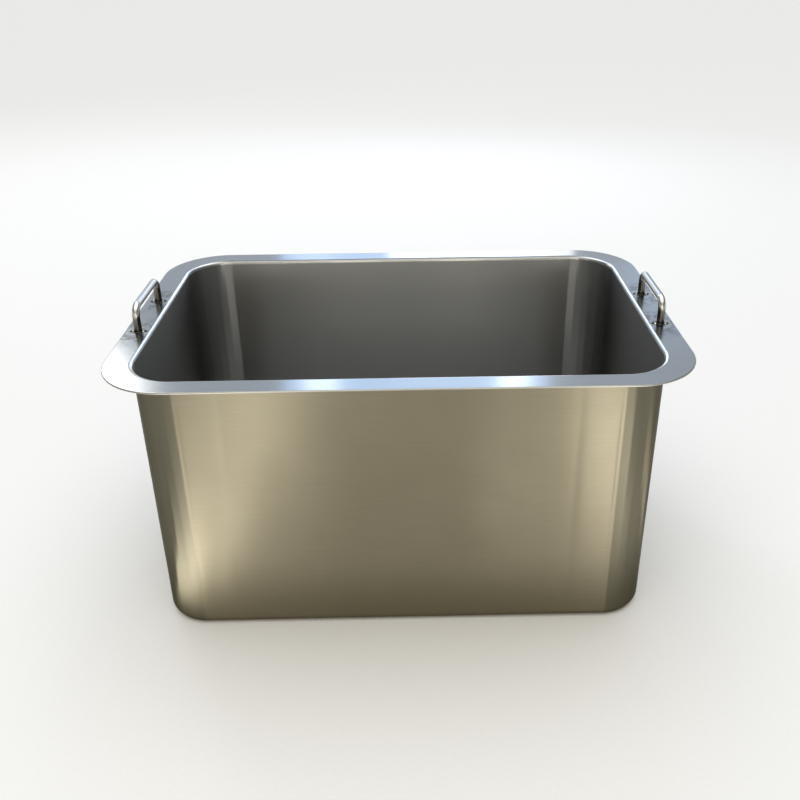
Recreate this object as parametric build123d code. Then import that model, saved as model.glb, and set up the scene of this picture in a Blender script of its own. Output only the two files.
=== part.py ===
from build123d import *
import os

# A welded sheet-steel trough: a tub with upright walls, a wide flat rim and two bent-bar handles.
# Millimetres. +X runs along the trough, +Y to its rear and +Z up. The origin is the middle of the
# floor's underside.

# Rim: a flat plate whose inner edge is rolled down into the tub
rim_length = 600.0
rim_depth = 400.0
rim_corner_radius = 73.0
rim_thickness = 2.0
rim_edge_round = 0.8
end_rim_width = 30.0
side_rim_width = 27.0
lip_bend_radius = 2.0
lip_straight = 8.0

# Tub: two bent wall sheets on a pressed floor pan
tub_height = 308.0
sheet_thickness = 1.5
opening_corner_radius = 48.0
floor_edge_radius = 10.0
floor_upstand = 14.0

# Butt welds, ground flush, fill the gap that is left between two sheets
weld_gap = 2.0

# Handles: round bar, bent twice, standing on the end rims
handle_bar_diameter = 8.0
handle_span = 88.0
handle_rise = 31.0
handle_inner_bend = 7.0
handle_offset = -9.0

# Fillet welds at the handles' feet, drawn out along the trough on both sides of the bar
foot_weld_reach = 6.0
foot_weld_side = 1.6
foot_weld_height = 2.2
foot_weld_slope = 50.0

# How far an edge's centre may lie outside an outline and still be picked as one of its edges
pick_margin = 0.02

# Sizes that follow from those above
opening_length = rim_length - 2 * end_rim_width
opening_depth = rim_depth - 2 * side_rim_width
rim_underside = tub_height - rim_thickness
lip_outer_radius = lip_bend_radius + rim_thickness
lip_bottom = tub_height - lip_outer_radius - lip_straight
floor_pan_top = floor_edge_radius + floor_upstand
wall_bottom = floor_pan_top + weld_gap
wall_top = lip_bottom - weld_gap
handle_x = opening_length / 2 + end_rim_width / 2
handle_front_y = handle_offset - handle_span / 2
handle_rear_y = handle_offset + handle_span / 2
handle_bar_z = tub_height + handle_rise - handle_bar_diameter / 2
handle_bend_radius = handle_inner_bend + handle_bar_diameter / 2


def opening_block(grow, bottom, top):
    """Solid with the tub opening's outline, grown outwards all round, between two heights."""
    outline = RectangleRounded(
        opening_length + 2 * grow,
        opening_depth + 2 * grow,
        opening_corner_radius + grow,
    )
    return Pos(0, 0, bottom) * extrude(outline, top - bottom)


def wall_ring(bottom, top):
    """Closed ring of wall sheet between two heights."""
    return opening_block(sheet_thickness, bottom, top) - opening_block(0, bottom, top)


def edges_near_opening(solid, height, grow):
    """Edges of a solid at one height that lie on the opening's outline, grown outwards."""
    half_length = opening_length / 2 + grow + pick_margin
    half_depth = opening_depth / 2 + grow + pick_margin
    level = solid.edges().filter_by_position(Axis.Z, height, height)
    return level.filter_by(
        lambda edge: abs(edge.center().X) <= half_length and abs(edge.center().Y) <= half_depth
    )


def make_rim_flange():
    """Flat rim plate with rounded outer edges and a rolled-down inner lip."""
    outline = RectangleRounded(rim_length, rim_depth, rim_corner_radius)
    plate = Pos(0, 0, rim_underside) * extrude(outline, rim_thickness)
    outer_edges = plate.edges().group_by(Axis.Z)[0] + plate.edges().group_by(Axis.Z)[-1]
    plate = fillet(outer_edges, rim_edge_round)
    flange = plate + opening_block(rim_thickness, lip_bottom, rim_underside)
    flange = fillet(edges_near_opening(flange, rim_underside, rim_thickness), lip_bend_radius)
    flange = flange - opening_block(0, lip_bottom, tub_height)
    return fillet(edges_near_opening(flange, tub_height, sheet_thickness), lip_outer_radius)


def make_floor_pan():
    """Pressed tray: flat floor, rounded edge and a short upstand."""
    block = opening_block(sheet_thickness, 0, floor_pan_top)
    block = fillet(block.edges().group_by(Axis.Z)[0], floor_edge_radius)
    hollow = opening_block(0, sheet_thickness, floor_pan_top)
    hollow = fillet(hollow.edges().group_by(Axis.Z)[0], floor_edge_radius - sheet_thickness)
    return block - hollow


def make_wall_halves():
    """Front and rear wall sheets, parted at the middle of both ends by the upright weld gaps."""
    ring = wall_ring(wall_bottom, wall_top)
    seam = Pos(0, 0, (wall_bottom + wall_top) / 2) * Box(rim_length, weld_gap, wall_top - wall_bottom)
    halves = (ring - seam).solids().sort_by(Axis.Y)
    return halves[0], halves[-1]


def make_seam_weld(side):
    """Upright butt weld at one end of the tub, side -1 for left and 1 for right."""
    strip = Box(sheet_thickness, weld_gap, wall_top - wall_bottom)
    middle = (opening_length + sheet_thickness) / 2
    return Pos(side * middle, 0, (wall_bottom + wall_top) / 2) * strip


def make_handle(side):
    """Bent round bar that stands on one end of the rim."""
    x = side * handle_x
    path = FilletPolyline(
        (x, handle_front_y, tub_height),
        (x, handle_front_y, handle_bar_z),
        (x, handle_rear_y, handle_bar_z),
        (x, handle_rear_y, tub_height),
        radius=handle_bend_radius,
    )
    section = Pos(x, handle_front_y, tub_height) * Circle(handle_bar_diameter / 2)
    return sweep(section, path=path)


def make_foot_weld(side, y):
    """Low fillet weld round one foot of a handle."""
    outline = SlotOverall(
        handle_bar_diameter + 2 * foot_weld_reach,
        handle_bar_diameter + 2 * foot_weld_side,
    )
    bead = extrude(outline, foot_weld_height, taper=foot_weld_slope)
    bar = Cylinder(handle_bar_diameter / 2, 2 * foot_weld_height)
    return Pos(side * handle_x, y, tub_height) * (bead - bar)


def make_parts():
    """All pieces of the trough by name."""
    front_half, rear_half = make_wall_halves()
    parts = {
        "front_wall_half": front_half,
        "rear_wall_half": rear_half,
        "floor_pan": make_floor_pan(),
        "rim_flange": make_rim_flange(),
        "floor_seam_weld": wall_ring(floor_pan_top, wall_bottom),
        "rim_seam_weld": wall_ring(wall_top, lip_bottom),
    }
    for name, side in (("left", -1), ("right", 1)):
        parts[f"{name}_seam_weld"] = make_seam_weld(side)
        parts[f"{name}_handle"] = make_handle(side)
        parts[f"{name}_handle_front_weld"] = make_foot_weld(side, handle_front_y)
        parts[f"{name}_handle_rear_weld"] = make_foot_weld(side, handle_rear_y)
    return parts


os.makedirs("parts", exist_ok=True)
for node, solid in make_parts().items():
    export_step(solid, f"parts/{node}.step")
    print(f"{node}: {solid.volume:.1f} mm3")
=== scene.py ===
"""Dressed model of a welded stainless trough: fine meshes, finishes, studio and camera."""
import logging
import math
from dataclasses import dataclass, field
from enum import Enum
from itertools import accumulate
from typing import Any, Sequence

import bmesh
import bpy
from mathutils import Matrix, Vector, noise


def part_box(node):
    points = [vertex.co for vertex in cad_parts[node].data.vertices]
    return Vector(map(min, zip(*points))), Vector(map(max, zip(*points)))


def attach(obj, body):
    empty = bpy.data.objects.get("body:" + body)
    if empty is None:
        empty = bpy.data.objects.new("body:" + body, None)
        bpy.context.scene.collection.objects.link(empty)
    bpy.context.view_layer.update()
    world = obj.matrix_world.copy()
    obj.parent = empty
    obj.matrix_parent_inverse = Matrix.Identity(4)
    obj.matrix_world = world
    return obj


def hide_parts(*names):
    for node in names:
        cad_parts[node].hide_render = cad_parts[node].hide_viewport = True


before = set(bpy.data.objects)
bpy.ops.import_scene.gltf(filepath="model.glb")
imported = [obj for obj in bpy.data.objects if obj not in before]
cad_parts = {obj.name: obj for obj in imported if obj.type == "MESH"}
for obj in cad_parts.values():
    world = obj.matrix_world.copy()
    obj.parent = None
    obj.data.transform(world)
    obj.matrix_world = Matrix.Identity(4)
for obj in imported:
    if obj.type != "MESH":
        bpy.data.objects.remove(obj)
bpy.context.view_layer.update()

MM = 0.001
QUARTER = 0.5 * math.pi
BODY = "root"
GRAIN_MAP = "grain"

# Numbers of the Mix node's sockets, several of which share a name
NUMBER_A = 2
NUMBER_B = 3
COLOUR_A = 6
COLOUR_B = 7
COLOUR_OUT = 2

Socket = bpy.types.NodeSocket
Material = bpy.types.Material
Place = tuple[float, float, float]
log = logging.getLogger("trough")


class Slot(Enum):
    """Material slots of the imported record."""

    WALL = "wall_satin"
    RIM = "rim_satin"
    HANDLE = "handle_polish"
    WELD = "foot_weld"


class Finish(Enum):
    """Finishes that the faces of a piece can have."""

    OUTSIDE = "outside"
    INSIDE = "inside"
    FLOOR = "floor"
    RIM = "rim"
    LIP = "lip"
    EDGE = "edge"
    BAR = "bar"
    BEAD = "bead"


class Side(Enum):
    """Ends of the trough."""

    LEFT = "left"
    RIGHT = "right"


class Foot(Enum):
    """Feet of a handle."""

    FRONT = "front"
    REAR = "rear"


class Glow(Enum):
    """Colours of the studio's lamps."""

    WHITE = "#FFFFFF"
    SKY = "#ABD0FF"
    SUN = "#FFFAF0"
    STRAW = "#F1F1D0"
    CARD = "#FFFBF8"
    WARM_CARD = "#FFFAF4"


def linear(hex_colour: str) -> tuple[float, float, float, float]:
    """Turn an sRGB hex colour into linear RGBA, by the standard's own formula.

    Args:
        hex_colour: Colour as "#RRGGBB".

    Returns:
        Linear red, green, blue and an alpha of 1.
    """
    digits = hex_colour.lstrip("#")
    channels = [int(digits[start:start + 2], 16) / 255 for start in (0, 2, 4)]
    red, green, blue = [
        value / 12.92 if value <= 0.04045 else ((value + 0.055) / 1.055) ** 2.4 for value in channels
    ]
    return red, green, blue, 1.0


class Nodes:
    """Node tree of one material or of the world, with what the finishes measure in it."""

    def __init__(self, tree: bpy.types.NodeTree) -> None:
        """Take over a tree and empty it."""
        self.tree = tree
        tree.nodes.clear()

    def add(
        self, kind: str, sockets: dict[str | int, Any] | None = None, out: str | int = 0, **settings: Any
    ) -> Socket | None:
        """Add one node with its settings, socket values and links.

        Args:
            kind: Blender's name of the node type.
            sockets: Input sockets by name or number, each with a value or an output socket to link.
            out: Name or number of the output socket that is wanted.
            **settings: Attributes of the node.

        Returns:
            The output socket, or None where the node has no outputs.
        """
        node = self.tree.nodes.new(kind)
        for name, value in settings.items():
            setattr(node, name, value)
        for key, value in (sockets or {}).items():
            if isinstance(value, Socket):
                self.tree.links.new(value, node.inputs[key])
            else:
                node.inputs[key].default_value = value
        return node.outputs[out] if node.outputs else None

    def along(self, axis: str, both_ways: bool = False, coordinates: str = "Object") -> Socket:
        """Measure how far a place or a direction reaches along an axis.

        Args:
            axis: X, Y or Z.
            both_ways: True to leave the sign out, so that both sides are alike.
            coordinates: "Object" for a place on a piece, "Generated" for a direction into the room.

        Returns:
            The distance, which is in metres for a place.
        """
        place = self.add("ShaderNodeTexCoord", out=coordinates)
        reach = self.add("ShaderNodeSeparateXYZ", {"Vector": place}, axis)
        return self.add("ShaderNodeMath", {0: reach}, operation="ABSOLUTE") if both_ways else reach

    def to_feet(self) -> Socket:
        """Measure how far a place is from the nearest foot of a handle, seen from above.

        Returns:
            The distance in metres.
        """
        low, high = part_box("right_handle")
        radius = 0.5 * (high.x - low.x)
        aside = self.along("X", both_ways=True)
        plan = self.add("ShaderNodeCombineXYZ", {"X": aside, "Y": self.along("Y")})
        front, rear = [
            self.add("ShaderNodeVectorMath", {
                0: plan, 1: (low.x + radius, y, 0.0),
            }, "Value", operation="DISTANCE")
            for y in (low.y + radius, high.y - radius)
        ]
        return self.add("ShaderNodeMath", {0: front, 1: rear}, operation="MINIMUM")

    def clouds(self, size: float, detail: float, roughness: float) -> Socket:
        """Lay an uneven pattern from 0 to 1 through the piece, with patches of a size."""
        place = self.add("ShaderNodeTexCoord", out="Object")
        return self.add("ShaderNodeTexNoise", {
            "Vector": place, "Scale": 1 / size, "Detail": detail, "Roughness": roughness,
        })


@dataclass(frozen=True)
class Look:
    """Colour and roughness of a surface, as sockets among its nodes."""

    nodes: Nodes
    colour: Socket
    roughness: Socket


@dataclass(frozen=True)
class StainOrPaintedLight:
    """One mark on the steel, a real stain or painted light: its tone, and how it fades with some distance.

    Attributes:
        tone: Colour of the mark.
        full: Distance up to which it covers fully, or from which on where it is more than the reach.
        reach: Distance at which it ends.
        strength: Share of the steel's own colour that it hides, 0 to 1.
        dulling: Roughness that it adds where it covers.
        patchy: True where it is broken up into blotches.
        blotch_edge: Values of the uneven pattern between which a blotch fades in.
    """

    tone: str
    full: float
    reach: float
    strength: float = 1.0
    dulling: float = 0.0
    patchy: bool = False
    blotch_edge: tuple[float, float] = (0.42, 0.58)

    def lay(self, look: Look, distance: Socket, cloud: Socket | None = None) -> Look:
        """Lay the mark over a surface.

        Args:
            look: Surface underneath.
            distance: Distance that the mark fades with.
            cloud: Uneven pattern from 0 to 1 that breaks a patchy mark up.

        Returns:
            The surface with the mark.
        """
        nodes = look.nodes
        roughness = look.roughness
        cover = nodes.add("ShaderNodeMapRange", {
            "Value": distance,
            "From Min": self.full,
            "From Max": self.reach,
            "To Min": self.strength,
            "To Max": 0.0,
        }, interpolation_type="SMOOTHSTEP")
        if self.patchy:
            blotches = nodes.add("ShaderNodeMapRange", {
                "Value": cloud, "From Min": self.blotch_edge[0], "From Max": self.blotch_edge[1],
            }, interpolation_type="SMOOTHSTEP")
            cover = nodes.add("ShaderNodeMath", {0: cover, 1: blotches}, operation="MULTIPLY")
        colour = nodes.add("ShaderNodeMix", {
            "Factor": cover, COLOUR_A: look.colour, COLOUR_B: linear(self.tone),
        }, COLOUR_OUT, data_type="RGBA")
        if self.dulling:
            roughness = nodes.add("ShaderNodeMath", {
                0: cover, 1: self.dulling, 2: roughness,
            }, operation="MULTIPLY_ADD")
        return Look(nodes, colour, roughness)


@dataclass(frozen=True)
class BrushedSteel:
    """Stainless steel brushed in one direction.

    The belt leaves fine scratches along the grain, so lights and the floor are drawn out across it into
    soft bands, while along it they stay much sharper.
    """

    name: str
    light_tone: str
    dark_tone: str
    roughness: float
    anisotropy: float
    edge_tint: str = "#FFFFFF"
    roughness_spread: float = 0.03
    # Real scratches are about 0.1 mm apart, drawn coarser here so that they show
    scratch_spacing: float = 0.8 * MM
    scratch_length: float = 60 * MM
    scratch_depth: float = 0.004 * MM
    scratch_detail: float = 4.0
    scratch_roughness: float = 0.65
    # Share of a turn from the grain to the direction in which highlights are drawn out
    highlight_turn: float = 0.25
    # Broad uneven sheen that wiping and handling leave
    smudge_size: float = 80 * MM
    smudge_detail: float = 3.0
    smudge_roughness: float = 0.55
    smudge_share: float = 0.4

    def material(self) -> Material:
        """Build the node material.

        Returns:
            The finished material.
        """
        material = bpy.data.materials.new(self.name)
        material.use_nodes = True
        nodes = Nodes(material.node_tree)
        scratches = self.scratches(nodes)
        smudges = nodes.clouds(self.smudge_size, self.smudge_detail, self.smudge_roughness)
        tone = nodes.add("ShaderNodeMix", {
            "Factor": self.smudge_share, NUMBER_A: scratches, NUMBER_B: smudges,
        })
        colour = nodes.add("ShaderNodeMix", {
            "Factor": tone, COLOUR_A: linear(self.dark_tone), COLOUR_B: linear(self.light_tone),
        }, COLOUR_OUT, data_type="RGBA")
        roughness = nodes.add("ShaderNodeMapRange", {
            "Value": tone,
            "To Min": self.roughness + self.roughness_spread,
            "To Max": self.roughness - self.roughness_spread,
        })
        look = self.with_stains_and_painted_light(Look(nodes, colour, roughness))
        bump = nodes.add("ShaderNodeBump", {"Height": scratches, "Distance": self.scratch_depth})
        shader = nodes.add("ShaderNodeBsdfPrincipled", {
            "Base Color": look.colour,
            "Metallic": 1.0,
            "Roughness": look.roughness,
            "Specular Tint": linear(self.edge_tint),
            "Anisotropic": self.anisotropy,
            "Anisotropic Rotation": self.highlight_turn,
            "Normal": bump,
            "Tangent": nodes.add("ShaderNodeTangent", direction_type="UV_MAP", uv_map=GRAIN_MAP),
        })
        nodes.add("ShaderNodeOutputMaterial", {"Surface": shader})
        return material

    def scratches(self, nodes: Nodes) -> Socket:
        """Add the pattern of scratches, long along the grain and narrow across it.

        Args:
            nodes: Nodes of the material.

        Returns:
            The pattern, from 0 to 1.
        """
        drawn_out = nodes.add("ShaderNodeMapping", {
            "Vector": nodes.add("ShaderNodeUVMap", uv_map=GRAIN_MAP),
            "Scale": (1 / self.scratch_length, 1 / self.scratch_spacing, 1.0),
        })
        return nodes.add("ShaderNodeTexNoise", {
            "Vector": drawn_out,
            "Scale": 1.0,
            "Detail": self.scratch_detail,
            "Roughness": self.scratch_roughness,
        })

    def with_stains_and_painted_light(self, look: Look) -> Look:
        """Leave the surface as it was brushed: finishes with stains or painted light of their own change
        it.
        """
        return look


@dataclass(frozen=True)
class PlateWithHeatMarksAndPaintedGlints(BrushedSteel):
    """Brushed rim plate with the marks that welding the handles left on it, and painted glints round the
    feet.

    Round each foot the steel is dull and dark, ringed by near-white painted glints, and the strip between
    the feet is blotchy from wiping.
    """

    blotch_size: float = 8 * MM
    blotch_detail: float = 4.0
    blotch_roughness: float = 0.65
    raggedness: float = 9 * MM
    marks_and_glints: tuple[StainOrPaintedLight, ...] = (
        StainOrPaintedLight("#5C5C56", 20 * MM, 50 * MM, 0.6, dulling=0.10, patchy=True),
        # Near-white ring round each foot: painted glints
        StainOrPaintedLight("#EDEEEE", 15 * MM, 20 * MM, 0.4, dulling=0.10, patchy=True),
        StainOrPaintedLight("#3A3733", 9 * MM, 15 * MM, 0.75, dulling=0.10),
    )

    def with_stains_and_painted_light(self, look: Look) -> Look:
        """Lay the heat marks and the painted glints over the plate, with ragged edges.

        Args:
            look: Plain plate.

        Returns:
            The plate with its marks and painted glints.
        """
        cloud = look.nodes.clouds(self.blotch_size, self.blotch_detail, self.blotch_roughness)
        distance = look.nodes.add("ShaderNodeMath", {
            0: cloud, 1: self.raggedness, 2: look.nodes.to_feet(),
        }, operation="MULTIPLY_ADD")
        for mark in self.marks_and_glints:
            look = mark.lay(look, distance, cloud)
        return look


@dataclass(frozen=True)
class ShadePaintedWall(BrushedSteel):
    """Belt-brushed wall, darker towards its foot and in its bends.

    Its foot is dull and brown from dried splashes and scuffs, and from painted shade of the shaded floor
    that it mirrors there. The bends are painted darker than the flats, for the dark surroundings that they
    mirror.
    """

    bend_x: float = 223 * MM
    bend_y: float = 125 * MM
    # Painted shade in the bends: darker than the flats, for the dark surroundings that they mirror
    painted_bend_shade: StainOrPaintedLight = StainOrPaintedLight("#656254", 3 * MM, 0.0, 0.65)
    # Darker towards the floor: dried splashes, and painted shade of the shaded floor that the wall mirrors
    # there
    splash_and_painted_shade: StainOrPaintedLight = StainOrPaintedLight("#4E4936", 8 * MM, 95 * MM, 0.5)

    def with_stains_and_painted_light(self, look: Look) -> Look:
        """Paint shade in the bends, and darken the whole wall towards the floor with splashes and painted
        shade.

        Args:
            look: Clean wall.

        Returns:
            The wall with painted shade in its bends, and splashes and painted shade towards its foot.
        """
        nodes = look.nodes
        past_x, past_y = [
            nodes.add("ShaderNodeMath", {
                0: nodes.along(axis, both_ways=True), 1: bend,
            }, operation="SUBTRACT")
            for axis, bend in (("X", self.bend_x), ("Y", self.bend_y))
        ]
        into_bend = nodes.add("ShaderNodeMath", {0: past_x, 1: past_y}, operation="MINIMUM")
        return self.splash_and_painted_shade.lay(self.painted_bend_shade.lay(look, into_bend), nodes.along("Z"))


@dataclass(frozen=True)
class LipWithPaintedShade(BrushedSteel):
    """Rolled lip, polished, with painted shade along the front and rear, so that it is bright only at both
    ends.
    """

    # Painted shade along the front and rear lips, for the dark ceiling that they mirror
    painted_side_shade: StainOrPaintedLight = StainOrPaintedLight("#6E7072", 225 * MM, 262 * MM)

    def with_stains_and_painted_light(self, look: Look) -> Look:
        """Paint shade on the lip away from the ends."""
        return self.painted_side_shade.lay(look, look.nodes.along("X", both_ways=True))


@dataclass(frozen=True)
class HeatTintedBarWithPaintedFootShade(BrushedSteel):
    """Drawn and polished round bar whose legs the welding tinted straw, and dark brown at the very foot
    from soot and painted contact shade.
    """

    feet_z: float = 0.0
    leg: StainOrPaintedLight = StainOrPaintedLight("#57534A", 13 * MM, 27 * MM, 0.9)
    # Dark at the very foot: soot, with painted contact shade where the leg meets the weld
    foot: StainOrPaintedLight = StainOrPaintedLight("#1E1B18", 1 * MM, 5 * MM, 0.9)

    def with_stains_and_painted_light(self, look: Look) -> Look:
        """Darken the legs by their height above the rim."""
        height = look.nodes.add("ShaderNodeMath", {
            0: look.nodes.along("Z"), 1: self.feet_z,
        }, operation="SUBTRACT")
        return self.foot.lay(self.leg.lay(look, height), height)


@dataclass(frozen=True)
class WeldBead(BrushedSteel):
    """Fillet weld left as it came off the torch, lightly brushed.

    Its crest is bright silvery metal. At its two toes it is nearly black, and where it meets the bar soot
    and painted contact shade make it nearly black.
    """

    toe: StainOrPaintedLight = StainOrPaintedLight("#1B1917", 7.2 * MM, 6.2 * MM)
    # Nearly black where the bead meets the bar: soot, with painted contact shade in the crease
    root: StainOrPaintedLight = StainOrPaintedLight("#24211D", 4.5 * MM, 5.6 * MM, 0.9)

    def with_stains_and_painted_light(self, look: Look) -> Look:
        """Turn the bead dark towards its toes, and where it meets the bar with soot and painted contact
        shade.
        """
        distance = look.nodes.to_feet()
        return self.root.lay(self.toe.lay(look, distance), distance)


@dataclass(frozen=True)
class StudioPaper:
    """Matt studio background paper: an even pale sheet with a faint fibre mottle."""

    name: str = "studio_paper_matt"
    light_tone: str = "#F8F8F7"
    dark_tone: str = "#F3F3F2"
    roughness: float = 0.9
    gloss: float = 0.1
    fibre_size: float = 4 * MM
    fibre_detail: float = 2.0
    fibre_roughness: float = 0.5

    def material(self) -> Material:
        """Build the node material.

        Returns:
            The finished material.
        """
        material = bpy.data.materials.new(self.name)
        material.use_nodes = True
        nodes = Nodes(material.node_tree)
        colour = nodes.add("ShaderNodeMix", {
            "Factor": nodes.clouds(self.fibre_size, self.fibre_detail, self.fibre_roughness),
            COLOUR_A: linear(self.dark_tone),
            COLOUR_B: linear(self.light_tone),
        }, COLOUR_OUT, data_type="RGBA")
        shader = nodes.add("ShaderNodeBsdfPrincipled", {
            "Base Color": colour, "Roughness": self.roughness, "Specular IOR Level": self.gloss,
        })
        nodes.add("ShaderNodeOutputMaterial", {"Surface": shader})
        return material


Materials = dict[Finish, Material]


def make_materials() -> Materials:
    """Build all materials of the trough, each once.

    Returns:
        Materials by finish.
    """
    rim_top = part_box("rim_flange")[1].z
    steels = {
        # The outside's tones are darker and warmer than the inside's: painted reflection of a warm, shaded
        # ground, over the steel's own tone
        Finish.OUTSIDE: ShadePaintedWall(
            "stainless_belt_brushed_outside_painted_shade_and_reflection", "#8A8471", "#706A59", 0.34, 0.9, edge_tint="#B4B4B2"
        ),
        # The same belt, but clean and in the steel's own lighter tone, without the outside's painted
        # reflection, so that it mirrors a little more sharply
        Finish.INSIDE: BrushedSteel("stainless_belt_brushed_inside", "#B8B8B7", "#A8A9A8", 0.29, 0.9),
        # Scuffed in all directions by what stood on it, so that its glints are broad; its darker tone is
        # painted shade at the bottom of the tub
        Finish.FLOOR: BrushedSteel("stainless_scuffed_floor_painted_shade", "#9A9A98", "#868684", 0.36, 0.7),
        Finish.RIM: PlateWithHeatMarksAndPaintedGlints("stainless_fine_brushed_rim", "#C1C3C2", "#B1B3B2", 0.17, 0.75),
        Finish.LIP: LipWithPaintedShade("stainless_polished_lip_painted_side_shade", "#F4F2EC", "#E8E6E0", 0.25, 0.2),
        # Rounded with a grinder, which leaves a thin dull line round the rim
        Finish.EDGE: BrushedSteel("stainless_ground_edge", "#A9A7A0", "#98968F", 0.30, 0.5),
        Finish.BAR: HeatTintedBarWithPaintedFootShade(
            "stainless_polished_bar", "#F0F0EE", "#DADAD6", 0.28, 0.2, edge_tint="#A8A8A8", feet_z=rim_top
        ),
        Finish.BEAD: WeldBead("stainless_weld_bead", "#D2D0CA", "#B4B0A8", 0.20, 0.0),
    }
    return {finish: steel.material() for finish, steel in steels.items()}


@dataclass(frozen=True)
class Station:
    """One point of an outline seen from above.

    Attributes:
        x: Place along the trough.
        y: Place across it.
        out_x: X of the outward direction.
        out_y: Y of the outward direction.
        slack: How free the sheet is to buckle there, 0 in a bend and 1 in the middle of a flat.
        crease: Distance along the outline from the nearest line where a bend begins, negative in the bend.
    """

    x: float
    y: float
    out_x: float
    out_y: float
    slack: float
    crease: float

    def grown(self, grow: float, z: float) -> Vector:
        """Point moved outwards, at a height."""
        return Vector((self.x + grow * self.out_x, self.y + grow * self.out_y, z))


def spread(low: float, high: float, count: int) -> list[float]:
    """Values from low to high in a number of steps, closer together near both ends."""
    shares = [0.5 - 0.5 * math.cos(math.pi * step / count) for step in range(count + 1)]
    return [low + (high - low) * share for share in shares]


def turn(angle: float, steps: int) -> list[float]:
    """Angles in equal steps from 0 up to an angle."""
    return [angle * step / steps for step in range(steps + 1)]


def lengths_along(points: Sequence[Vector], start: float = 0.0, closed: bool = False) -> list[float]:
    """Distances along a line of points, with one more, back at the first point, where it is closed."""
    line = [*points, points[0]] if closed else points
    return list(accumulate(((after - here).length for here, after in zip(line, line[1:])), initial=start))


def runs_along(stations: Sequence[Station], start: float = 0.0, closed: bool = False) -> list[float]:
    """Distances along an outline, as for a line of points."""
    return lengths_along([station.grown(0.0, 0.0) for station in stations], start, closed)


@dataclass(frozen=True)
class RoundedOutline:
    """Rectangle with round corners, walked anticlockwise from the right end's upright seam."""

    half_length: float
    half_depth: float
    corner: float
    seam_half_gap: float
    end_steps: int = 8
    side_steps: int = 16
    corner_steps: int = 64
    near_bend: float = 45 * MM
    near_steps: int = 36

    def rear(self) -> list[Station]:
        """Walk from the right seam round the rear to the left seam.

        Returns:
            Stations of the rear half.
        """
        corner_x = self.half_length - self.corner
        corner_y = self.half_depth - self.corner
        ends = self.flat(self.seam_half_gap, corner_y, self.end_steps)
        sides = self.flat(0.0, corner_x, self.side_steps)
        stations = [Station(self.half_length, y, 1.0, 0.0, *self.freedom(y, corner_y)) for y in ends[:-1]]
        stations += self.bend(corner_x, corner_y, 0.0)
        for x in sides[:0:-1] + [-x for x in sides[:-1]]:
            stations.append(Station(x, self.half_depth, 0.0, 1.0, *self.freedom(x, corner_x)))
        stations += self.bend(-corner_x, corner_y, QUARTER)
        for y in reversed(ends):
            stations.append(Station(-self.half_length, y, -1.0, 0.0, *self.freedom(y, corner_y)))
        return stations

    def flat(self, start: float, bend: float, steps: int) -> list[float]:
        """Places along a flat up to a bend, in long steps first and short ones near the bend.

        Args:
            start: First place.
            bend: Place where the bend begins.
            steps: Number of long steps.

        Returns:
            The places.
        """
        near = bend - self.near_bend
        far = [start + (near - start) * step / steps for step in range(steps)]
        return far + [near + self.near_bend * step / self.near_steps for step in range(self.near_steps + 1)]

    @staticmethod
    def freedom(place: float, bend: float) -> tuple[float, float]:
        """Slack of the sheet at a place on a flat, and its distance from the bend."""
        return math.cos(QUARTER * place / bend), bend - abs(place)

    def bend(self, centre_x: float, centre_y: float, start: float) -> list[Station]:
        """Walk round a corner, up to its last point but without it.

        Args:
            centre_x: Place of the arc's centre along the trough.
            centre_y: Place of the arc's centre across it.
            start: Angle at which the arc starts.

        Returns:
            Stations of the corner.
        """
        stations = []
        for angle in turn(QUARTER, self.corner_steps)[:-1]:
            out_x = math.cos(start + angle)
            out_y = math.sin(start + angle)
            x = centre_x + self.corner * out_x
            y = centre_y + self.corner * out_y
            crease = -self.corner * min(angle, QUARTER - angle)
            stations.append(Station(x, y, out_x, out_y, 0.0, crease))
        return stations

    def front(self) -> list[Station]:
        """Stations of the front half, which is the rear turned half round."""
        return [Station(-s.x, -s.y, -s.out_x, -s.out_y, s.slack, s.crease) for s in self.rear()]

    def around(self) -> list[Station]:
        """Stations of the whole outline."""
        return self.rear() + self.front()


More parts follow.
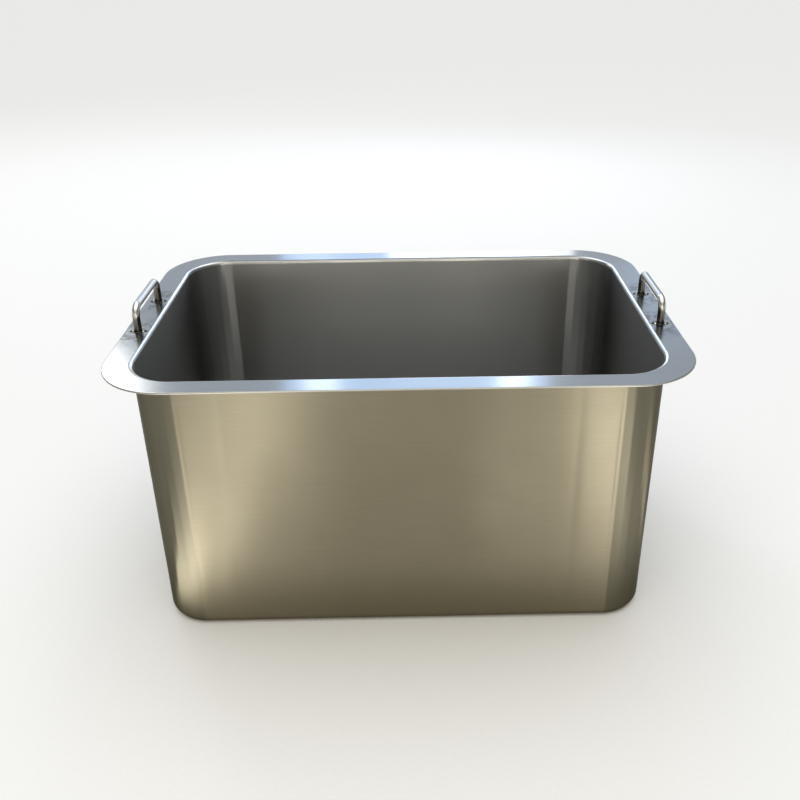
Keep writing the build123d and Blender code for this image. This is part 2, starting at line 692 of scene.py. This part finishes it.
@dataclass
class Skin:
    """Points and faces of one piece, gathered surface by surface.

    A face is the numbers of its corners, their coordinates along and across the grain, and its finish.
    Edges at which the surface turns by the sharp angle or more are drawn sharp.
    """

    materials: Materials
    points: list[Vector] = field(default_factory=list)
    faces: list[tuple[Sequence[int], Sequence[Sequence[float]], Finish]] = field(default_factory=list)
    sharp_angle: float = math.radians(35)

    def add_points(self, points: Sequence[Vector]) -> list[int]:
        """Add points and hand back their numbers."""
        self.points.extend(points)
        return list(range(len(self.points) - len(points), len(self.points)))

    def add_flat(self, corners: Sequence[int], finish: Finish, plane: str = "xy") -> None:
        """Add one flat face whose grain runs along the first axis of its plane."""
        self.faces.append((corners, [getattr(self.points[number], plane) for number in corners], finish))

    def add_loft(
        self,
        rings: Sequence[Sequence[Vector]],
        along: Sequence[float],
        girths: Sequence[float],
        finishes: Sequence[Finish],
    ) -> list[list[int]]:
        """Join rings of points with quads.

        Args:
            rings: Rows of points, all of one length.
            along: Grain coordinate of each ring, with one more where the last ring joins the first.
            girths: Coordinate across the grain of each point of a ring, with one more where the ring
                closes on itself.
            finishes: Finish of each strip between two neighbouring points of a ring.

        Returns:
            Point numbers, ring by ring.
        """
        numbers = [self.add_points(ring) for ring in rings]
        for row in range(len(along) - 1):
            here = numbers[row]
            after = numbers[(row + 1) % len(numbers)]
            for column in range(len(girths) - 1):
                beside = (column + 1) % len(here)
                corners = (here[column], after[column], after[beside], here[beside])
                grain = (
                    (along[row], girths[column]),
                    (along[row + 1], girths[column]),
                    (along[row + 1], girths[column + 1]),
                    (along[row], girths[column + 1]),
                )
                self.faces.append((corners, grain, finishes[column]))
        return numbers

    def add_edge_strip(self, ring: Sequence[int], finish: Finish) -> None:
        """Close the end of a sheet.

        Args:
            ring: Numbers of the end's points, up one face and down the other.
            finish: Finish of the end.
        """
        last = len(ring) - 1
        for column in range(len(ring) // 2 - 1):
            corners = (ring[column], ring[column + 1], ring[last - 1 - column], ring[last - column])
            self.add_flat(corners, finish, "yz")

    def add_fan(self, ring: Sequence[int], centre: Vector, finish: Finish) -> None:
        """Close a ring of points with triangles to its centre.

        Args:
            ring: Numbers of the points.
            centre: The centre.
            finish: Finish of the triangles.
        """
        middle = self.add_points([centre])[0]
        for number, after in zip(ring, [*ring[1:], ring[0]]):
            self.add_flat((number, after, middle), finish)

    def dress(self, name: str, node: str, slot: Slot) -> None:
        """Make the piece, put it in place of its CAD node and report it.

        Args:
            name: Name of the piece.
            node: CAD node that it stands for.
            slot: Record's slot of the piece; not used.
        """
        mesh = bpy.data.meshes.new(name)
        mesh.from_pydata(self.points, [], [corners for corners, _, _ in self.faces])
        layer = mesh.uv_layers.new(name=GRAIN_MAP)
        used = list(dict.fromkeys(finish for _, _, finish in self.faces))
        for polygon, (_, grain, finish) in zip(mesh.polygons, self.faces):
            polygon.material_index = used.index(finish)
            for loop, place in zip(polygon.loop_indices, grain):
                layer.data[loop].uv = place
        work = bmesh.new()
        work.from_mesh(mesh)
        bmesh.ops.recalc_face_normals(work, faces=work.faces)
        work.to_mesh(mesh)
        work.free()
        mesh.shade_smooth()
        mesh.set_sharp_from_angle(angle=self.sharp_angle)
        for finish in used:
            mesh.materials.append(self.materials[finish])
        piece = bpy.data.objects.new(name, mesh)
        bpy.context.scene.collection.objects.link(piece)
        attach(piece, BODY)
        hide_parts(node)
        log.info("%s: %d faces, stands for %s", piece.name, len(piece.data.polygons), node)


@dataclass(frozen=True)
class Score:
    """Upright score line on the wall's outside: distance from the crease, depth and half width."""

    at: float
    depth: float
    width: float


@dataclass
class Tub:
    """Welded tub: two bent wall sheets on a pressed floor pan, with butt welds ground flush."""

    materials: Materials
    opening: RoundedOutline
    sheet: float
    wall_bottom: float
    wall_top: float
    pan_top: float
    lip_bottom: float
    floor_edge_radius: float = 10 * MM
    # Buckling of the flats: one broad bulge, uneven, with narrow upright rolls
    bulge: float = 0.5 * MM
    buckle: float = 0.10 * MM
    buckle_size: float = 110 * MM
    roll: float = 0.05 * MM
    roll_size: float = 38 * MM
    roll_height_share: float = 0.12
    # Marks of bending: a crease, flats in the bend and score lines, uneven along their height
    crease: float = 0.10 * MM
    crease_width: float = 7 * MM
    facet: float = 0.23 * MM
    facets: int = 8
    facet_start: float = 2 * MM
    scores: tuple[Score, ...] = (
        Score(0.0, 0.20 * MM, 1.5 * MM),
        Score(43 * MM, 0.14 * MM, 5.5 * MM),
    )
    mark_mean: float = 0.75
    mark_swing: float = 0.5
    mark_patch: float = 90 * MM
    mark_height_share: float = 3.0
    mark_fade_power: float = 0.3
    height_steps: int = 26
    upstand_steps: int = 4
    floor_arc_steps: int = 10
    floor_rings: tuple[float, ...] = (0.96, 0.85, 0.65, 0.4, 0.15)

    @classmethod
    def from_frame(cls, materials: Materials, opening_corner: float) -> "Tub":
        """Read the tub's sizes from the frame.

        Args:
            materials: Materials by finish.
            opening_corner: Corner radius of the opening.

        Returns:
            The tub.
        """
        weld_low, weld_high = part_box("right_seam_weld")
        sheet = weld_high.x - weld_low.x
        rear_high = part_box("rear_wall_half")[1]
        opening = RoundedOutline(weld_low.x, rear_high.y - sheet, opening_corner, weld_high.y)
        pan_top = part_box("floor_pan")[1].z
        lip_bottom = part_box("rim_flange")[0].z
        return cls(materials, opening, sheet, weld_low.z, weld_high.z, pan_top, lip_bottom)

    def buckled(self, station: Station, grow: float, z: float) -> Vector:
        """Point of the wall, moved by the slight buckling of a thin welded sheet.

        Args:
            station: Place on the opening's outline.
            grow: Distance outwards from it.
            z: Height.

        Returns:
            The moved point.
        """
        rise = (z - self.wall_bottom) / (self.wall_top - self.wall_bottom)
        inward = math.sin(math.pi * min(max(rise, 0.0), 1.0))
        place = station.grown(0.0, z)
        ripple = self.buckle * noise.noise(place / self.buckle_size)
        upright = Vector((place.x, place.y, self.roll_height_share * z))
        rolled = self.roll * noise.noise(upright / self.roll_size)
        patch = Vector((place.x, place.y, self.mark_height_share * z))
        depth_share = self.mark_mean + self.mark_swing * noise.noise(patch / self.mark_patch)
        dent = self.crease * math.exp(-abs(station.crease) / self.crease_width)
        if grow > 0:
            for score in self.scores:
                away = (station.crease - score.at) / score.width
                dent += score.depth * depth_share * math.exp(-away ** 2)
        into_bend = -station.crease - self.facet_start
        if into_bend > 0:
            facet_width = QUARTER * self.opening.corner / self.facets
            across = 2 * (into_bend / facet_width % 1.0) - 1
            dent += self.facet * depth_share * (1 - across ** 2)
        swell = station.slack * (self.bulge + ripple) + rolled
        return station.grown(grow + inward * swell - dent * inward ** self.mark_fade_power, z)

    def dress_sheet(
        self,
        name: str,
        node: str,
        stations: Sequence[Station],
        heights: Sequence[float],
        start: float = 0.0,
        closed: bool = False,
    ) -> None:
        """Build and place a wall sheet, or the ground weld in a gap between sheets.

        Args:
            name: Name of the piece.
            node: CAD node that it stands for.
            stations: Places that it runs through.
            heights: Heights of its points.
            start: Distance along the outline at its first station.
            closed: True where it runs all round the tub.
        """
        down = list(reversed(heights))
        rings = [
            [self.buckled(station, self.sheet, z) for z in heights]
            + [self.buckled(station, 0.0, z) for z in down]
            for station in stations
        ]
        finishes = [Finish.OUTSIDE] * len(heights) + [Finish.INSIDE] * len(heights)
        skin = Skin(self.materials)
        numbers = skin.add_loft(
            rings, runs_along(stations, start, closed), [*heights, *down, heights[0]], finishes
        )
        if not closed:
            skin.add_edge_strip(numbers[0], Finish.OUTSIDE)
            skin.add_edge_strip(numbers[-1], Finish.OUTSIDE)
        skin.dress(name, node, Slot.WALL)

    def dress_pan(self) -> None:
        """Build and place the floor pan, from its underside over the upstand to its floor."""
        outer = self.floor_edge_radius
        inner = outer - self.sheet
        arc = turn(QUARTER, self.floor_arc_steps)
        uprights = spread(outer, self.pan_top, self.upstand_steps)[1:]
        outside = [(self.sheet - outer + outer * math.sin(a), outer - outer * math.cos(a)) for a in arc]
        outside += [(self.sheet, z) for z in uprights]
        inside = [(0.0, z) for z in reversed(uprights)]
        inside += [(inner * math.sin(a) - inner, outer - inner * math.cos(a)) for a in reversed(arc)]
        stations = self.opening.around()
        rings = [[station.grown(grow, z) for grow, z in outside + inside] for station in stations]
        girths = [-length for length in lengths_along(rings[0])]
        finishes = [Finish.OUTSIDE] * len(outside) + [Finish.INSIDE] * len(inside)
        skin = Skin(self.materials)
        numbers = skin.add_loft(rings, runs_along(stations, closed=True), girths, finishes)
        self.add_floor(skin, [ring[0] for ring in numbers], Finish.OUTSIDE)
        self.add_floor(skin, [ring[-1] for ring in numbers], Finish.FLOOR)
        skin.dress("pressed_floor_pan", "floor_pan", Slot.WALL)

    def add_floor(self, skin: Skin, border: list[int], finish: Finish) -> None:
        """Fill the flat floor inside a ring of points with shrinking rings.

        Args:
            skin: Skin that takes the faces.
            border: Numbers of the points round the floor.
            finish: Finish of the floor.
        """
        outline = [skin.points[number].copy() for number in border]
        outer = border
        for share in self.floor_rings:
            inner = skin.add_points([Vector((p.x * share, p.y * share, p.z)) for p in outline])
            for index in range(len(outer)):
                after = (index + 1) % len(outer)
                skin.add_flat((outer[index], outer[after], inner[after], inner[index]), finish)
            outer = inner
        skin.add_fan(outer, Vector((0.0, 0.0, outline[0].z)), finish)

    def dress(self) -> None:
        """Build all pieces of the tub and put them in place of their CAD nodes."""
        rear = self.opening.rear()
        front = self.opening.front()
        wall = spread(self.wall_bottom, self.wall_top, self.height_steps)
        floor_gap = [self.pan_top, 0.5 * (self.pan_top + self.wall_bottom), self.wall_bottom]
        rim_gap = [self.wall_top, 0.5 * (self.wall_top + self.lip_bottom), self.lip_bottom]
        self.dress_pan()
        self.dress_sheet("rear_wall_sheet", "rear_wall_half", rear, wall)
        self.dress_sheet("front_wall_sheet", "front_wall_half", front, wall, start=runs_along(rear)[-1])
        self.dress_sheet("left_ground_seam", "left_seam_weld", (rear[-1], front[0]), wall)
        self.dress_sheet("right_ground_seam", "right_seam_weld", (front[-1], rear[0]), wall)
        self.dress_sheet("floor_ground_seam", "floor_seam_weld", rear + front, floor_gap, closed=True)
        self.dress_sheet("rim_ground_seam", "rim_seam_weld", rear + front, rim_gap, closed=True)


@dataclass
class Rim:
    """Flat rim plate with a rolled-down lip at the opening."""

    materials: Materials
    opening: RoundedOutline
    outer: RoundedOutline
    bottom: float
    top: float
    plate: float = 2.0 * MM
    lip_bend: float = 2.0 * MM
    edge_round: float = 0.8 * MM
    polish_from: float = math.radians(45)
    polish_to: float = math.radians(75)
    lip_steps: int = 4
    roll_steps: int = 9
    plate_steps: int = 10
    edge_steps: int = 4

    @classmethod
    def from_frame(cls, materials: Materials, opening: RoundedOutline, outer_corner: float) -> "Rim":
        """Read the rim's sizes from the frame.

        Args:
            materials: Materials by finish.
            opening: Outline of the tub's opening.
            outer_corner: Corner radius of the rim.

        Returns:
            The rim.
        """
        low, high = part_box("rim_flange")
        outer = RoundedOutline(high.x, high.y, outer_corner, opening.seam_half_gap)
        return cls(materials, opening, outer, low.z, high.z)

    def roll_finish(self, angle: float) -> Finish:
        """Finish of the lip's roll: satin inside, a polished crest, then the plate's own.

        Args:
            angle: Angle round the roll, from upright to flat.

        Returns:
            The finish.
        """
        if angle < self.polish_from:
            return Finish.INSIDE
        return Finish.LIP if angle < self.polish_to else Finish.RIM

    def section(self, inner: Station, outer: Station) -> list[tuple[Vector, Finish]]:
        """Closed section of the rim, from the lip's lower edge over the top and back underneath.

        Args:
            inner: Place on the opening's outline.
            outer: Matching place on the rim's outline.

        Returns:
            Points, each with the finish of the strip after it.
        """
        bend = self.lip_bend
        edge = self.edge_round
        roll = bend + self.plate
        centre = self.top - roll
        under = self.top - self.plate
        lip = spread(self.bottom, centre, self.lip_steps)[:-1]
        quarter = turn(QUARTER, self.roll_steps)
        nose = turn(QUARTER, self.edge_steps)
        shares = spread(0.0, 1.0, self.plate_steps)[:-1]
        top_inside = inner.grown(roll, self.top)
        top_outside = outer.grown(-edge, self.top)
        under_inside = inner.grown(roll, under)
        under_outside = outer.grown(-edge, under)
        points = [(inner.grown(0.0, z), Finish.INSIDE) for z in lip]
        points += [
            (inner.grown(roll - roll * math.cos(a), centre + roll * math.sin(a)), self.roll_finish(a))
            for a in quarter
        ]
        points += [(top_inside.lerp(top_outside, share), Finish.RIM) for share in shares[1:]]
        points += [
            (outer.grown(edge * math.sin(a) - edge, self.top - edge + edge * math.cos(a)), Finish.EDGE)
            for a in nose
        ]
        points += [
            (outer.grown(edge * math.cos(a) - edge, under + edge - edge * math.sin(a)), Finish.EDGE)
            for a in nose[:-1]
        ]
        points += [(under_outside.lerp(under_inside, share), Finish.RIM) for share in shares]
        points += [
            (inner.grown(roll - bend * math.sin(a), centre + bend * math.cos(a)), Finish.OUTSIDE)
            for a in quarter
        ]
        points += [(inner.grown(self.plate, z), Finish.OUTSIDE) for z in reversed(lip)]
        return points

    def dress(self) -> None:
        """Build the rim and put it in place of its CAD node."""
        outer = self.outer.around()
        sections = [self.section(here, there) for here, there in zip(self.opening.around(), outer)]
        rings = [[point for point, _ in section] for section in sections]
        girths = lengths_along(rings[0], closed=True)
        skin = Skin(self.materials)
        skin.add_loft(rings, runs_along(outer, closed=True), girths, [finish for _, finish in sections[0]])
        skin.dress("rolled_rim", "rim_flange", Slot.RIM)


@dataclass
class FootWeld:
    """Fillet weld round one foot of a handle: a low collar with a rippled ear on both sides."""

    materials: Materials
    side: Side
    foot: Foot
    bar_radius: float
    collar_width: float = 0.7 * MM
    collar_height: float = 0.8 * MM
    ear_height: float = 1.5 * MM
    ear_half_width: float = 1.5 * MM
    ripple: float = 0.10
    ripple_spacing: float = 1.1 * MM
    fullness_power: float = 0.8
    turns: int = 180
    rises: int = 9

    def ring(self, out: Vector, reach: float, height: float) -> list[Vector]:
        """Section of the bead in one direction, from its toe up to the bar and down to the rim.

        Args:
            out: Direction from the foot's axis.
            reach: Distance from the axis to the ears' round ends along X.
            height: Largest height.

        Returns:
            Points about the foot's middle.
        """
        collar = self.bar_radius + self.collar_width
        end = reach - self.ear_half_width
        if abs(out.y) * end < abs(out.x) * self.ear_half_width:
            ear = end * abs(out.x) + math.sqrt(self.ear_half_width ** 2 - (end * out.y) ** 2)
        else:
            ear = self.ear_half_width / abs(out.y)
        toe = max(collar, ear)
        eared = (toe - collar) / (reach - collar)
        crest = self.collar_height + (self.ear_height - self.collar_height) * math.sqrt(eared)
        points = []
        for rise in range(self.rises):
            share = rise / (self.rises - 1)
            distance = toe + (self.bar_radius - toe) * share
            wave = 1 + self.ripple * math.sin(2 * math.pi * distance / self.ripple_spacing) * eared
            swell = crest * math.sin(QUARTER * share) ** self.fullness_power * wave
            points.append(out * distance + Vector((0.0, 0.0, min(swell, height))))
        return [*points, out * self.bar_radius]

    def dress(self) -> None:
        """Build the weld and put it in place of its CAD node."""
        node = f"{self.side.value}_handle_{self.foot.value}_weld"
        low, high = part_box(node)
        centre = Vector((0.5 * (low.x + high.x), 0.5 * (low.y + high.y), low.z))
        reach = 0.5 * (high.x - low.x)
        angles = turn(2 * math.pi, self.turns)
        strips = self.rises + 1
        rings = []
        for angle in angles[:-1]:
            out = Vector((math.cos(angle), math.sin(angle), 0.0))
            rings.append([centre + point for point in self.ring(out, reach, high.z - low.z)])
        girths = [reach * step / strips for step in range(strips + 1)]
        skin = Skin(self.materials)
        skin.add_loft(rings, [reach * angle for angle in angles], girths, [Finish.BEAD] * strips)
        skin.dress(f"{self.side.value}_{self.foot.value}_weld_bead", node, Slot.WELD)


@dataclass
class Handle:
    """Bent round bar on one end of the rim, with a fillet weld at each foot."""

    materials: Materials
    side: Side
    x: float
    front_y: float
    rear_y: float
    foot_z: float
    bar_z: float
    radius: float
    bend: float = 11.0 * MM
    flattening: float = 0.03
    bar_sides: int = 40
    bend_steps: int = 14
    leg_steps: int = 6
    grip_steps: int = 12

    @classmethod
    def from_frame(cls, materials: Materials, side: Side) -> "Handle":
        """Read one handle's sizes from the frame.

        Args:
            materials: Materials by finish.
            side: End of the trough.

        Returns:
            The handle.
        """
        low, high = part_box(f"{side.value}_handle")
        radius = 0.5 * (high.x - low.x)
        x = 0.5 * (low.x + high.x)
        return cls(materials, side, x, low.y + radius, high.y - radius, low.z, high.z - radius, radius)

    def path(self) -> list[tuple[Vector, Vector, float]]:
        """Centreline of the bar.

        Returns:
            Points with their direction along the bar, and how much each lies in a bend, 0 to 1.
        """
        bend = self.bend
        shoulder = self.bar_z - bend
        front = self.front_y + bend
        rear = self.rear_y - bend
        leg = spread(self.foot_z, shoulder, self.leg_steps)
        arc = turn(QUARTER, self.bend_steps)[:-1]
        places = [(self.front_y, z, QUARTER, 0.0) for z in leg[:-1]]
        places += [
            (front - bend * math.cos(a), shoulder + bend * math.sin(a), QUARTER - a, math.sin(2 * a))
            for a in arc
        ]
        places += [(y, self.bar_z, 0.0, 0.0) for y in spread(front, rear, self.grip_steps)[:-1]]
        places += [
            (rear + bend * math.sin(a), shoulder + bend * math.cos(a), -a, math.sin(2 * a)) for a in arc
        ]
        places += [(self.rear_y, z, -QUARTER, 0.0) for z in reversed(leg)]
        return [
            (Vector((self.x, y, z)), Vector((0.0, math.cos(slope), math.sin(slope))), bent)
            for y, z, slope, bent in places
        ]

    def dress(self) -> None:
        """Sweep the bar, a little flattened in its bends, and place it and its welds."""
        across = Vector((1.0, 0.0, 0.0))
        angles = turn(2 * math.pi, self.bar_sides)
        path = self.path()
        rings = []
        for centre, heading, bent in path:
            up = across.cross(heading)
            wide = self.radius * (1 + self.flattening * bent)
            high = self.radius * (1 - self.flattening * bent)
            rings.append([
                centre + across * (wide * math.cos(angle)) + up * (high * math.sin(angle))
                for angle in angles[:-1]
            ])
        along = lengths_along([centre for centre, _, _ in path])
        girths = [self.radius * angle for angle in angles]
        skin = Skin(self.materials)
        numbers = skin.add_loft(rings, along, girths, [Finish.BAR] * self.bar_sides)
        skin.add_fan(numbers[0], path[0][0], Finish.BAR)
        skin.add_fan(numbers[-1], path[-1][0], Finish.BAR)
        skin.dress(f"{self.side.value}_bent_bar", f"{self.side.value}_handle", Slot.HANDLE)
        for foot in Foot:
            FootWeld(self.materials, self.side, foot, self.radius).dress()


@dataclass(frozen=True)
class Softbox:
    """Soft rectangular lamp, set by the brightness of its face."""

    name: str
    glow: Glow
    brightness: float
    width: float
    height: float
    place: Place
    aim: Place

    def make(self) -> None:
        """Add the lamp, out of the camera's sight."""
        light = bpy.data.lights.new(self.name, "AREA")
        light.shape = "RECTANGLE"
        light.size = self.width
        light.size_y = self.height
        light.color = linear(self.glow.value)[:3]
        light.energy = self.brightness * math.pi * self.width * self.height
        lamp = bpy.data.objects.new(self.name, light)
        lamp.location = self.place
        lamp.rotation_euler = (Vector(self.aim) - Vector(self.place)).to_track_quat("-Z", "Y").to_euler()
        lamp.visible_camera = False
        bpy.context.scene.collection.objects.link(lamp)
        log.info("lamp %s", self.name)


@dataclass(frozen=True)
class RoomLight:
    """Soft light of the room: a pale backdrop round the horizon, dim walls and a large ceiling panel.

    Each pair of values is a range of the direction's X, Y or Z, which go from -1 to 1.
    """

    backdrop: str = "#F8F8F7"
    front_wall: str = "#AEA389"
    rear_wall: str = "#BFC8D4"
    panel: str = "#FFFFFF"
    panel_brightness: float = 1.3
    panel_edge: tuple[float, float] = (0.60, 0.90)
    front_to_rear: tuple[float, float] = (-0.5, 0.5)
    side_dimming: tuple[float, float] = (0.30, 0.75)
    side_level: float = 0.15
    backdrop_top: tuple[float, float] = (0.10, 0.20)

    def make(self) -> None:
        """Build the world's nodes."""
        world = bpy.data.worlds.new("soft_room")
        world.use_nodes = True
        nodes = Nodes(world.node_tree)
        aside = nodes.along("X", True, "Generated")
        rearward = nodes.along("Y", False, "Generated")
        upward = nodes.along("Z", False, "Generated")
        rear_share, dimming, overhead, low_share = [
            nodes.add("ShaderNodeMapRange", {
                "Value": value, "From Min": first, "From Max": last, "To Min": start, "To Max": end,
            }, interpolation_type="SMOOTHSTEP")
            for value, (first, last), start, end in (
                (rearward, self.front_to_rear, 0.0, 1.0),
                (aside, self.side_dimming, 1.0, self.side_level),
                (upward, self.panel_edge, 0.0, self.panel_brightness),
                (upward, self.backdrop_top, 1.0, 0.0),
            )
        ]
        walls = nodes.add("ShaderNodeMix", {
            "Factor": rear_share, COLOUR_A: linear(self.front_wall), COLOUR_B: linear(self.rear_wall),
        }, COLOUR_OUT, data_type="RGBA")
        wall_light = nodes.add("ShaderNodeBackground", {"Color": walls, "Strength": dimming})
        panel_light = nodes.add("ShaderNodeBackground", {"Color": linear(self.panel), "Strength": overhead})
        above = nodes.add("ShaderNodeAddShader", {0: wall_light, 1: panel_light})
        backdrop_light = nodes.add("ShaderNodeBackground", {"Color": linear(self.backdrop)})
        sky = nodes.add("ShaderNodeMixShader", {"Fac": low_share, 1: above, 2: backdrop_light})
        nodes.add("ShaderNodeOutputWorld", {"Surface": sky})
        bpy.context.scene.world = world


@dataclass
class Studio:
    """Pale floor, soft light and camera.

    Lamps aim at the rim's centre unless they say otherwise. Cards lie on the floor, face up, where the
    front wall mirrors them, lifted off it a little and tipped a little along their turn.
    """

    floor_size: float = 120.0
    focal_pixels: float = 877.45
    frame_pixels: float = 800.0
    centre_pixel: tuple[float, float] = (422.97, 386.59)
    camera_place: Place = (0.01199, -0.93536, 0.69076)
    yaw: float = 0.7911
    pitch: float = 27.3468
    roll: float = 0.5768
    sensor: float = 36.0
    rim_centre: Place = (0.0, 0.0, 0.31)
    card_lift: float = 6 * MM
    card_tip: float = 0.01

    def make_floor(self) -> None:
        """Add the floor."""
        half = 0.5 * self.floor_size
        corners = [(-half, -half, 0), (half, -half, 0), (half, half, 0), (-half, half, 0)]
        mesh = bpy.data.meshes.new("studio_floor")
        mesh.from_pydata(corners, [], [(0, 1, 2, 3)])
        mesh.materials.append(StudioPaper().material())
        floor = bpy.data.objects.new("studio_floor", mesh)
        bpy.context.scene.collection.objects.link(floor)

    def make_lamps(self) -> None:
        """Add the lamps: name, colour, brightness, width, height, place and aim of each."""
        rim = self.rim_centre
        for lamp in (
            ("rear_window", Glow.SKY, 1.2, 1.06, 0.95, (0.03, 2.3, 1.3), rim),
            ("rear_window_low", Glow.WHITE, 2.4, 0.70, 0.30, (0.28, 2.28, 0.94), rim),
            ("rear_window_high", Glow.WHITE, 1.5, 0.13, 0.5, (0.43, 2.27, 1.55), rim),
            ("rear_window_left", Glow.WHITE, 1.2, 0.14, 0.5, (-0.36, 2.27, 1.5), rim),
            ("rear_window_right", Glow.SKY, 0.3, 0.40, 0.4, (1.06, 2.3, 1.12), rim),
            ("rear_left", Glow.WHITE, 3.5, 0.6, 0.9, (-1.43, 2.3, 1.86), rim),
            ("front_left_window", Glow.SUN, 8.8, 0.22, 0.52, (-0.26, -2.5, 1.13), (-0.1, 0.1, 0.25)),
            ("front_right_window", Glow.SUN, 12.0, 0.18, 0.58, (0.26, -2.5, 1.17), (0.1, 0.1, 0.25)),
            ("front_left_far", Glow.SUN, 5.0, 0.2, 0.6, (-1.62, -1.69, 1.2), (0.2, 0.15, 0.2)),
            ("front_low_band", Glow.STRAW, 1.2, 2.2, 0.3, (0.0, -2.55, 0.68), (0.0, 0.15, 0.27)),
            ("front_left_strip", Glow.CARD, 9.0, 0.22, 0.5, (-0.60, -2.55, 0.27), (-0.19, -0.17, 0.2)),
            ("front_right_strip", Glow.CARD, 20.0, 0.16, 0.5, (0.8, -2.55, 0.27), (0.18, -0.17, 0.2)),
        ):
            Softbox(*lamp).make()

    def make_cards(self) -> None:
        """Lay the cards: name, colour, brightness, width, length, X, Y and turn from +Y towards +X."""
        for name, glow, brightness, width, length, x, y, degrees in (
            ("left_card", Glow.CARD, 1.5, 0.13, 0.66, -0.240, -0.59, -7.0),
            ("left_inner_card", Glow.CARD, 1.4, 0.09, 0.66, -0.216, -0.59, -9.0),
            ("corner_card", Glow.CARD, 7.6, 0.085, 0.13, -0.307, -0.230, -36.0),
            ("right_card", Glow.CARD, 0.62, 0.22, 0.48, 0.24, -0.54, -12.0),
            ("right_edge_card", Glow.CARD, 3.6, 0.085, 0.36, 0.324, -0.56, -14.0),
            ("right_corner_card", Glow.CARD, 1.0, 0.14, 0.34, 0.44, -0.24, 22.0),
            ("right_side_card", Glow.CARD, 2.9, 0.13, 0.36, 0.435, -0.48, -20.0),
            ("right_bend_card", Glow.WARM_CARD, 6.0, 0.06, 0.14, 0.54, -0.07, 65.0),
        ):
            angle = math.radians(degrees)
            aim = (x + self.card_tip * math.sin(angle), y + self.card_tip * math.cos(angle), 1.0)
            Softbox(name, glow, brightness, width, length, (x, y, self.card_lift), aim).make()

    def make_camera(self) -> None:
        """Add the camera at the photograph's view."""
        data = bpy.data.cameras.new("camera")
        data.sensor_width = self.sensor
        data.lens = self.sensor * self.focal_pixels / self.frame_pixels
        data.shift_x = (0.5 * self.frame_pixels - self.centre_pixel[0]) / self.frame_pixels
        data.shift_y = (self.centre_pixel[1] - 0.5 * self.frame_pixels) / self.frame_pixels
        camera = bpy.data.objects.new("camera", data)
        yaw = Matrix.Rotation(math.radians(-self.yaw), 4, "Z")
        tilt = Matrix.Rotation(math.radians(90 - self.pitch), 4, "X")
        lean = Matrix.Rotation(math.radians(-self.roll), 4, "Z")
        camera.matrix_world = Matrix.Translation(self.camera_place) @ yaw @ tilt @ lean
        bpy.context.scene.collection.objects.link(camera)
        bpy.context.scene.camera = camera

    def make(self) -> None:
        """Add the whole studio."""
        self.make_floor()
        RoomLight().make()
        self.make_lamps()
        self.make_cards()
        self.make_camera()
        bpy.context.scene.view_settings.view_transform = "Standard"


def main() -> None:
    """Build and dress the trough, then its studio."""
    logging.basicConfig(level=logging.INFO, format="%(name)s: %(message)s")
    materials = make_materials()
    tub = Tub.from_frame(materials, opening_corner=48 * MM)
    tub.dress()
    Rim.from_frame(materials, tub.opening, outer_corner=73 * MM).dress()
    for side in Side:
        Handle.from_frame(materials, side).dress()
    Studio().make()


if __name__ == "__main__":
    main()
